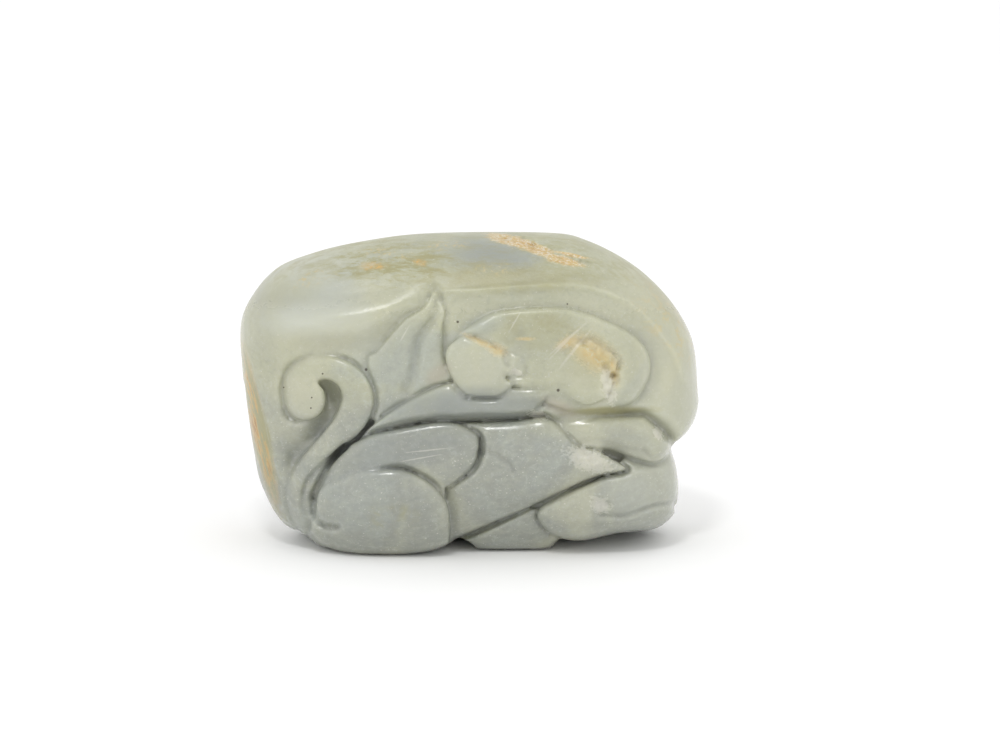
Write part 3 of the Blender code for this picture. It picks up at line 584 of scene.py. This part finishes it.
def mark_hollows(mesh):
    """Stores how deep each corner lies in a groove: its height under a much evened copy of the skin."""
    count = len(mesh.vertices)
    places = np.empty(count * 3, np.float32)
    mesh.vertices.foreach_get("co", places)
    places = places.reshape(-1, 3).astype(float)
    normals = np.empty(count * 3, np.float32)
    mesh.vertex_normals.foreach_get("vector", normals)
    edges = np.empty(len(mesh.edges) * 2, np.int32)
    mesh.edges.foreach_get("vertices", edges)
    starts, ends = edges.reshape(-1, 2).T
    both, other = np.append(starts, ends), np.append(ends, starts)
    near = np.bincount(both, minlength=count)[:, None]
    even = places
    for _ in range(HOLLOW_ROUNDS):
        means = np.stack([np.bincount(both, even[other, axis], count) for axis in (0, 1, 2)], 1) / near
        even = 0.5 * (even + means)
    depth = ((even - places) * normals.reshape(-1, 3)).sum(1) / HUNDREDTH
    mesh.attributes.new("hollow", "FLOAT", "POINT").data.foreach_set("value", depth.astype(np.float32))


# Output of the texture coordinate node that gives a place on the object itself
OBJECT_PLACE = 3


class Wire:
    """A socket of a material's nodes: sums, differences, products and quotients of wires add their nodes."""

    def __init__(self, finish, socket):
        self.finish = finish
        self.socket = socket

    def math(self, operation, first, second):
        return self.finish.node("ShaderNodeMath", {"operation": operation}, {0: first, 1: second})

    def __add__(self, other):
        return self.math("ADD", self, other)

    def __radd__(self, other):
        return self.math("ADD", other, self)

    def __sub__(self, other):
        return self.math("SUBTRACT", self, other)

    def __rsub__(self, other):
        return self.math("SUBTRACT", other, self)

    def __mul__(self, other):
        return self.math("MULTIPLY", self, other)

    def __rmul__(self, other):
        return self.math("MULTIPLY", other, self)

    def __truediv__(self, other):
        return self.math("DIVIDE", self, other)

    def __pow__(self, other):
        return self.math("POWER", self, other)


class Finish:
    """A material and its nodes."""

    def __init__(self, name):
        self.material = bpy.data.materials.new(name)
        self.material.use_nodes = True
        self.tree = self.material.node_tree
        self.shader = self.tree.nodes["Principled BSDF"]

    def node(self, kind, settings, inputs, output=0):
        """A node of the kind, its settings made first, then its inputs set or linked; gives one output."""
        made = self.tree.nodes.new(kind)
        for name, value in settings.items():
            setattr(made, name, value)
        for name, value in inputs.items():
            self.feed(made.inputs[name], value)
        return Wire(self, made.outputs[output])

    def feed(self, socket, value):
        """Links a wire to a socket, or sets its value."""
        if isinstance(value, Wire):
            self.tree.links.new(value.socket, socket)
        elif isinstance(value, tuple) and socket.type == "RGBA":
            socket.default_value = (*value, 1)
        else:
            socket.default_value = value

    def set(self, **values):
        """Sets or links the shader's own sockets, named with spaces for underscores."""
        for name, value in values.items():
            self.feed(self.shader.inputs[name.replace("_", " ")], value)

    def ramp(self, value, start, end):
        """Soft step from 0 at start to 1 at end."""
        return self.node("ShaderNodeMapRange", {"interpolation_type": "SMOOTHSTEP"},
                         {"Value": value, "From Min": start, "From Max": end})

    def larger(self, first, second):
        """The larger of two values."""
        return self.node("ShaderNodeMath", {"operation": "MAXIMUM"}, {0: first, 1: second})

    def mixed(self, share, first, second):
        """The first colour, passing into the second as the share goes from 0 to 1."""
        return self.node("ShaderNodeMix", {"data_type": "RGBA"}, {0: share, 6: first, 7: second}, output=2)

    def noise(self, place, size, detail=3, roughness=0.5, distortion=0):
        """Cloudy values about 0.5, with clouds of the size in hundredths of the length."""
        return self.node("ShaderNodeTexNoise", {}, {"Vector": place, "Scale": 1 / size, "Detail": detail,
                                                    "Roughness": roughness, "Distortion": distortion})

    def place(self, across, up, out):
        """A place from its three wires or numbers."""
        return self.node("ShaderNodeCombineXYZ", {}, {0: across, 1: up, 2: out})

    def bump(self, height, distance, strength):
        """Normal bent by a height in hundredths of the length."""
        return self.node("ShaderNodeBump", {}, {"Height": height, "Distance": distance * HUNDREDTH,
                                                "Strength": strength})


class Sheet:
    """The carving's own sheet of places, across and up in hundredths of its length, in a material."""

    def __init__(self, finish, middle):
        point = finish.node("ShaderNodeTexCoord", {}, {}, output=OBJECT_PLACE)
        axes = [finish.node("ShaderNodeSeparateXYZ", {}, {0: point}, output=n) for n in (0, 1, 2)]
        back = (axes[1] + middle[1]) / HUNDREDTH
        high = axes[2] / HUNDREDTH - (UNDERSIDE_DROP - UNDERSIDE_CUT)
        self.finish = finish
        self.across = axes[0] / HUNDREDTH + middle[0] / HUNDREDTH
        self.up = high * math.cos(SHEET_LEAN) + back * math.sin(SHEET_LEAN)
        self.out = high * math.sin(SHEET_LEAN) - back * math.cos(SHEET_LEAN)
        self.front = finish.ramp(self.out, -3, 2)
        self.point = finish.place(self.across, self.up, self.out)

    def streaks(self, turn, stretch, deep=1):
        """The place with its pattern drawn out along a line turned by an angle in degrees, and inwards."""
        cos, sin = math.cos(math.radians(turn)), math.sin(math.radians(turn))
        along = (self.across * cos + self.up * sin) / stretch
        aside = self.up * cos - self.across * sin
        return self.finish.place(along, aside, self.out / deep)

    def patch(self, across, up, length, width, turn=0, edge=0.4, torn=0.6, wander=None):
        """1 within an ellipse on the sheet and 0 outside it, its edge as soft and as torn as asked."""
        cos, sin = math.cos(math.radians(turn)), math.sin(math.radians(turn))
        right, rise = self.across - across, self.up - up
        along = (right * cos + rise * sin) / length
        aside = (rise * cos - right * sin) / width
        reach = (along * along + aside * aside) ** 0.5
        if wander:
            reach = reach + (wander - 0.5) * (2 * torn)
        return self.finish.ramp(reach, 1 + edge, 1 - edge)


# Colours of the stone, with the painted shade of its lower forms and grooves
PALE_GREEN = (0.40, 0.405, 0.295)
SHADED_GREY_BLUE = (0.28, 0.295, 0.27)
# Grey blue of the lower forms, darkened with painted shade
SMOKE_BLUE = (0.335, 0.36, 0.33)
SLATE = (0.22, 0.235, 0.225)
ROSE = (0.40, 0.35, 0.27)
FROST = (0.47, 0.49, 0.45)
CREAM = (0.50, 0.495, 0.37)
OLIVE = (0.30, 0.28, 0.13)
HONEY = (0.56, 0.36, 0.12)
OCHRE = (0.56, 0.44, 0.21)
RUSSET = (0.27, 0.14, 0.05)
CHALK = (0.62, 0.60, 0.53)
# Olive grey of the painted shade in the grooves, also used for darker streaks of grain
GROOVE_SHADE_AND_DARK_GRAIN = (0.26, 0.235, 0.15)
PIT = (0.05, 0.035, 0.02)


def gathered(finish, sheet, places, edge, torn, wander):
    """The largest of several patches on the front, each given as across, up, length, width and turn."""
    largest = None
    for across, up, length, width, turn in places:
        mark = sheet.patch(across, up, length, width, turn, edge, torn, wander) * sheet.front
        largest = finish.larger(largest, mark) if largest else mark
    return largest


def shaded(finish, sheet, colour, places, tint, wander):
    """The colour tinted in soft patches on the front, each given with its share of the tint at the end."""
    for across, up, length, width, turn, share in places:
        mark = sheet.patch(across, up, length, width, turn, 0.8, 0.8, wander) * sheet.front
        colour = finish.mixed(mark * share, colour, tint)
    return colour


def jade_finish(middle):
    """Polished jade: cloudy grey green, honey and russet where the pebble's skin was left, chalky breaks, and
    painted shade on the lower forms and in the grooves.
    """
    jade = Finish("polished_jade")
    sheet = Sheet(jade, middle)
    cloud = jade.noise(sheet.point, 22, 4, 0.55, 0.6)
    cloud_small = jade.noise(sheet.point, 5, 4, 0.6, 0.4)
    torn = jade.noise(sheet.streaks(-12, 2.2), 2.4, 4, 0.65)
    speckle = jade.noise(sheet.point, 0.9, 3, 0.6)

    # The lower forms and the band are greyer than the mantle, and painted darker as shade because less light
    # falls on them
    edge_line = sheet.up + 0.12 * sheet.across + (cloud - 0.5) * 6
    low = jade.ramp(edge_line, 40, 27)
    colour = jade.mixed(low * 0.85, PALE_GREEN, SHADED_GREY_BLUE)
    colour = jade.mixed(jade.ramp(cloud, 0.5, 0.72) * 0.5, colour, CREAM)
    colour = jade.mixed(jade.ramp(cloud, 0.5, 0.36) * 0.6, colour, SMOKE_BLUE)
    colour = jade.mixed(jade.ramp(cloud_small, 0.55, 0.8) * 0.2, colour, CREAM)
    fine = jade.noise(sheet.streaks(8, 2), 1.6, 6, 0.7)
    colour = jade.mixed(jade.ramp(fine, 0.42, 0.6) * 0.12, colour, CREAM)
    # Darker streaks of grain, in the olive grey also used for the painted groove shade
    colour = jade.mixed(jade.ramp(fine, 0.5, 0.38) * 0.06, colour, GROOVE_SHADE_AND_DARK_GRAIN)
    mottle = jade.noise(sheet.point, 1.4, 5, 0.72, 0.5)
    colour = jade.mixed(jade.ramp(mottle, 0.5, 0.68) * 0.3, colour, FROST)
    colour = jade.mixed(jade.ramp(mottle, 0.5, 0.32) * 0.22, colour, SLATE)
    fleck = jade.noise(sheet.point, 0.5, 2, 0.5)
    colour = jade.mixed(jade.ramp(fleck, 0.66, 0.74) * 0.6, colour, CHALK)
    right = jade.ramp(sheet.across, 70, 96)
    colour = jade.mixed(right * jade.ramp(sheet.up, 0, 16) * 0.4, colour, CREAM)
    colour = shaded(jade, sheet, colour, PALE_PLACES, CREAM, cloud)
    colour = shaded(jade, sheet, colour, BLUE_PLACES, SMOKE_BLUE, cloud)
    colour = shaded(jade, sheet, colour, SLATE_PLACES, SLATE, cloud)
    colour = shaded(jade, sheet, colour, ROSE_PLACES, ROSE, cloud)
    colour = shaded(jade, sheet, colour, FROST_PLACES, FROST, cloud)

    # Thin yellow and olive veils on top, streaked along the stone
    veil = jade.noise(sheet.streaks(-6, 3.2), 2.3, 7, 0.74, 0.3)
    top = jade.ramp(sheet.up, 53, 60)
    colour = jade.mixed(top * jade.ramp(veil, 0.4, 0.66) * 0.5, colour, OLIVE)
    olive = sheet.patch(33, 60.5, 12, 4.2, -4, 0.5, 0.9, torn) * jade.ramp(veil, 0.44, 0.6)
    colour = jade.mixed(olive * 0.8, colour, OLIVE)
    colour = shaded(jade, sheet, colour, OLIVE_PLACES, OLIVE, torn)
    spots = jade.ramp(speckle * 0.6 + veil * 0.4, 0.5, 0.6)
    honey = gathered(jade, sheet, HONEY_PLACES, 0.6, 0.9, torn)
    colour = jade.mixed(honey * (0.35 + 0.6 * spots), colour, HONEY)
    faint = gathered(jade, sheet, FAINT_HONEY_PLACES, 0.7, 1.1, torn)
    colour = jade.mixed(faint * spots * 0.5, colour, OCHRE)

    # Ochre fissure across the top
    along = jade.noise(sheet.streaks(-17, 3), 0.8, 6, 0.75)
    crumbs = jade.noise(sheet.streaks(-17, 1.6), 0.55, 6, 0.8)
    fissure = gathered(jade, sheet, FISSURE, 0.3, 1.3, along)
    colour = jade.mixed(fissure * 0.8, colour, OCHRE)
    colour = jade.mixed(fissure * jade.ramp(along, 0.44, 0.56) * 0.7, colour, HONEY)
    colour = jade.mixed(fissure * jade.ramp(crumbs, 0.48, 0.38) * 0.4, colour, RUSSET)
    colour = jade.mixed(fissure * jade.ramp(crumbs, 0.51, 0.58) * 0.9, colour, CHALK)

    # Russet streaks down the left rim
    streak = jade.noise(sheet.streaks(-76, 14, 5), 0.9, 5, 0.7)
    rim = sheet.patch(3.2, 26.5, 17.5, 1.7, -77, 0.6, 1.6, streak)
    colour = jade.mixed(rim * 0.75, colour, OLIVE)
    colour = jade.mixed(rim * jade.ramp(streak, 0.46, 0.54) * 0.9, colour, HONEY)
    colour = jade.mixed(rim * jade.ramp(streak, 0.52, 0.6) * 0.9, colour, RUSSET)

    # Broken stubs, stained from the break inwards, and the tints beside them
    stain = gathered(jade, sheet, STAINS, 0.8, 1.5, crumbs)
    colour = jade.mixed(stain * 0.6, colour, OCHRE)
    colour = jade.mixed(stain * jade.ramp(crumbs, 0.5, 0.62) * 0.7, colour, HONEY)
    colour = jade.mixed(stain * jade.ramp(speckle, 0.56, 0.66) * 0.6, colour, CREAM)

    # Yellow tints on the haunch and the right edge
    haunch = sheet.patch(33, 4.5, 5.5, 3.2, 10, 0.7, 0.8, torn) * sheet.front
    colour = jade.mixed(haunch * jade.ramp(cloud_small, 0.4, 0.65) * 0.4, colour, OLIVE)
    edge = sheet.patch(93, 48, 9, 3.5, -52, 0.7, 0.9, torn)
    colour = jade.mixed(edge * jade.ramp(veil, 0.5, 0.62) * 0.4, colour, OCHRE)

    # Pale scratches
    scratches = gathered(jade, sheet, SCRATCHES, 0.5, 0.7, speckle)
    colour = jade.mixed(scratches * 0.35, colour, CHALK)

    # Chalky bruises on the chips
    bruise = gathered(jade, sheet, BRUISES, 0.5, 1.3, speckle)
    colour = jade.mixed(bruise * (0.3 + 0.9 * (speckle - 0.3)), colour, CHALK)

    # Painted shade darkening the grooves, and dark pits
    hollow = jade.node("ShaderNodeAttribute", {"attribute_name": "hollow"}, {}, output=2)
    # Painted shade: the deeper a place lies in a groove, the more its colour is darkened to olive grey
    shaded_grooves = jade.ramp(hollow, 0.2, 1.5)
    colour = jade.mixed(shaded_grooves * (0.45 + 0.4 * (cloud_small - 0.5)), colour, GROOVE_SHADE_AND_DARK_GRAIN)
    pits = None
    for across, up, size in PITS:
        mark = sheet.patch(across, up, size, size, 0, 0.35)
        pits = jade.larger(pits, mark) if pits else mark
    pits = pits * sheet.front
    colour = jade.mixed(pits * 0.85, colour, PIT)

    rough = jade.larger(bruise * 0.6, jade.larger(stain * 0.6, fissure * 0.5))
    rough = jade.larger(rough, jade.ramp(sheet.up + (cloud - 0.5) * 8, 45, 62) * 0.6)
    scratch = jade.noise(sheet.streaks(28, 9), 0.5, 2, 0.5)
    grain = jade.noise(sheet.point, 0.55, 4, 0.6)
    height = scratch * 0.7 + (grain - 0.5) * (0.4 + 2 * rough) + fine * 0.6 - pits * 2
    gloss = 0.12 + 0.1 * cloud_small + 0.08 * mottle + 0.4 * rough + 0.12 * shaded_grooves
    jade.set(Base_Color=colour, Roughness=gloss, Normal=jade.bump(height, 0.12, 0.35))
    jade.set(Metallic=0, IOR=1.6, Subsurface_Weight=0.65, Subsurface_Scale=0.004,
             Subsurface_Radius=(1.0, 1.0, 0.75), Coat_Weight=0.0)
    return jade.material


def floor_finish():
    """Matt white paper, very slightly uneven."""
    paper = Finish("white_paper")
    point = paper.node("ShaderNodeTexCoord", {}, {}, output=OBJECT_PLACE)
    uneven = paper.node("ShaderNodeTexNoise", {}, {"Vector": point, "Scale": 40, "Detail": 3})
    paper.set(Base_Color=paper.mixed(uneven, (0.93, 0.93, 0.93), (0.96, 0.96, 0.96)), Roughness=0.9)
    return paper.material


# Chalky marks on the chips: across, up, length, width, turn
BRUISES = [(76.4, 17.4, 4.6, 2.0, -20), (78.6, 7.6, 2.0, 1.6, -30), (91.4, 23.2, 0.9, 1.4, 20),
    (65.0, 27.3, 1.9, 0.9, -10), (80.4, 33.8, 3.4, 1.3, -75), (60.6, 36.6, 1.4, 0.6, -20)]

# Ochre stains on and beside the broken stubs: across, up, length, width, turn
STAINS = [(53.4, 42.9, 4.2, 0.6, -24), (56.2, 41.5, 1.8, 1.1, -20), (77.4, 40.6, 4.8, 2.7, -32),
    (81.6, 37.2, 1.0, 2.8, 8), (62.4, 43.9, 1.6, 0.35, 0), (71.8, 43.2, 2.2, 1.0, 20)]

# Parts of the fissure, and orange places on top: across, up, length, width, turn
FISSURE = [(59.6, 65.3, 5.4, 1.15, -14), (64.6, 63.6, 4.6, 1.1, -20), (70.5, 61.1, 4.0, 0.9, -14),
    (72.6, 62.2, 3.4, 0.4, -12)]
HONEY_PLACES = [(28.8, 59.7, 2.6, 0.75, 0), (39.4, 60.5, 1.4, 0.7, -10)]
FAINT_HONEY_PLACES = [(45, 64.3, 4, 1.0, 5), (56, 59, 4, 1.0, 5), (32, 62.5, 5, 1.0, -5),
    (16, 57, 4, 1.2, 15)]

# Pale scratches: across, up, length, width, turn
SCRATCHES = [(71.6, 43.9, 4.7, 0.28, 41), (73.0, 41.5, 4.8, 0.3, 51), (70.4, 42.4, 3.6, 0.2, 46),
    (41.2, 19.6, 4.5, 0.15, 6), (39.6, 17.9, 4.2, 0.15, 10), (60, 47.5, 2.5, 0.15, 60), (36, 45, 2, 0.15, 60)]

# Soft tints on the front: across, up, length, width, turn, share
PALE_PLACES = [(19, 47, 15, 6, 8, 0.6), (13.3, 32.5, 6, 6.5, 0, 0.45), (52, 38, 7, 6, 0, 0.55),
    (75.5, 36.5, 6.5, 6, 0, 0.4), (80.6, 33.6, 2.2, 4, -15, 0.7), (73.5, 24.5, 6, 2, 0, 0.3),
    (12, 58, 9, 4, 25, 0.6), (95, 42, 6, 12, 0, 0.4)]
BLUE_PLACES = [(54, 63, 8, 4, -8, 0.8), (52.5, 46.8, 4.5, 2, 25, 0.6), (36.5, 40, 5, 9, 0, 0.25),
    (52, 29.5, 14, 2.6, 0, 0.5), (14, 54, 9, 4, 0, 0.4)]
SLATE_PLACES = [(52, 29, 17, 3, 3, 0.55), (36, 20, 13, 4, 8, 0.4), (54, 62.5, 10, 4, -8, 0.45),
    (30, 8, 16, 9, 0, 0.14), (40, 11, 5, 7, 0, 0.2), (5, 46, 3, 6, 0, 0.15), (83, 23.2, 6, 3, 0, 0.2)]
FROST_PLACES = [(16, 58.6, 8, 3.5, 15, 0.5), (14, 48.5, 9, 3.5, 0, 0.6), (86, 10, 6, 5, 0, 0.3)]
ROSE_PLACES = [(70, 28.9, 3.4, 1.4, -25, 0.5), (43.2, 36.2, 2.4, 1.2, 40, 0.4), (72, 43, 3, 1.2, 25, 0.4)]
OLIVE_PLACES = [(67.5, 47.8, 4.2, 2, -5, 0.4), (59.5, 46.8, 2, 2.6, 0, 0.3), (79, 39.2, 2, 1.4, -40, 0.7),
    (94, 52, 7, 2.5, -52, 0.3), (8, 53, 8, 3, 30, 0.2), (80, 28.2, 8, 0.8, 2, 0.7), (58, 57, 15, 2.5, 0, 0.6),
    (76, 42, 5, 3, -30, 0.3), (64, 43.5, 6, 3, 0, 0.25), (75.8, 38, 4, 3, -30, 0.25)]

# Dark pits: across, up, size
PITS = [(47.6, 47.6, 0.27), (71.5, 51.5, 0.18), (69.5, 32.7, 0.33), (27.6, 37.2, 0.3), (15.7, 31.1, 0.18),
    (15.5, 28.8, 0.18), (18.1, 36.3, 0.2), (9.5, 33.3, 0.15)]


def camera():
    """The photograph's view, square to the leaning sheet and straight at the front."""
    low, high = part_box("jade_carving")
    data = bpy.data.cameras.new("camera")
    data.sensor_width = 36
    data.lens = data.sensor_width * VIEW_DISTANCE / VIEW_WIDTH
    eye = bpy.data.objects.new("camera", data)
    bpy.context.scene.collection.objects.link(eye)
    right, over = VIEW_MIDDLE
    upwards = Vector((0, math.sin(SHEET_LEAN), math.cos(SHEET_LEAN)))
    backwards = Vector((0, -math.cos(SHEET_LEAN), math.sin(SHEET_LEAN)))
    target = Vector((right, 0, (low.z + high.z) / 2)) + upwards * over
    eye.location = target + backwards * VIEW_DISTANCE
    eye.rotation_euler = (math.pi / 2 - SHEET_LEAN, 0, 0)
    data.clip_start, data.clip_end = 0.05, 30
    bpy.context.scene.camera = eye


def lamp(name, place, size, power, aim=(0, 0, 0.03), colour=(1, 1, 1)):
    """A square soft box at a place, aimed at the carving."""
    data = bpy.data.lights.new(name, "AREA")
    data.size = size
    data.energy = power
    data.color = colour
    box = bpy.data.objects.new(name, data)
    box.location = place
    box.rotation_euler = (Vector(place) - Vector(aim)).to_track_quat("Z", "Y").to_euler()
    bpy.context.scene.collection.objects.link(box)


def studio():
    """White paper floor, a large soft box above and in front, weaker ones aside, and a pale surround."""
    reach = np.array([(-6, -6, 0), (6, -6, 0), (6, 6, 0), (-6, 6, 0)], float)
    floor = bpy.data.objects.new("floor", mesh_of("floor", reach, np.array([[0, 1, 2, 3]])))
    floor.data.materials.append(floor_finish())
    bpy.context.scene.collection.objects.link(floor)
    world = bpy.data.worlds.new("surround")
    world.use_nodes = True
    world.node_tree.nodes["Background"].inputs["Color"].default_value = (1, 1, 1, 1)
    world.node_tree.nodes["Background"].inputs["Strength"].default_value = SURROUND
    bpy.context.scene.world = world
    lamp("key", (-0.12, -0.75, 0.95), 0.16, KEY)
    lamp("fill", (0.9, -0.9, 0.5), 0.8, FILL)
    lamp("fill_left", (-0.9, -0.8, 0.4), 0.8, FILL)
    bpy.context.scene.view_settings.view_transform = "Standard"


# Camera's distance, width seen at the carving, and the view's middle right of and over the carving's own
VIEW_DISTANCE = 2.4
VIEW_WIDTH = 0.17582
VIEW_MIDDLE = (0.00536, 0.0019)

# Strengths of the surround and the lamps
SURROUND = 1.0
KEY = 3
FILL = 1


def carving():
    """The stone with its finish, standing for its solid."""
    places, faces = stone_surface()
    low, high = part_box("jade_carving")
    middle = (places.max(0) + places.min(0)) / 2
    shift = np.array([(low.x + high.x) / 2 - middle[0], (low.y + high.y) / 2 - middle[1], 0])
    mesh = thinned(mesh_of("carved", places + shift, faces), TRIANGLES)
    mark_hollows(mesh)
    mesh.shade_smooth()
    stone = bpy.data.objects.new("carved_jade", mesh)
    bpy.context.scene.collection.objects.link(stone)
    mesh.materials.clear()
    mesh.materials.append(jade_finish(SHEET_MIDDLE))
    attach(stone, "root")
    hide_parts("jade_carving")


# Where the sheet's corner lies from the middle of the standing stone, in metres
SHEET_MIDDLE = (0.0401, 0.0)

carving()
studio()
camera()
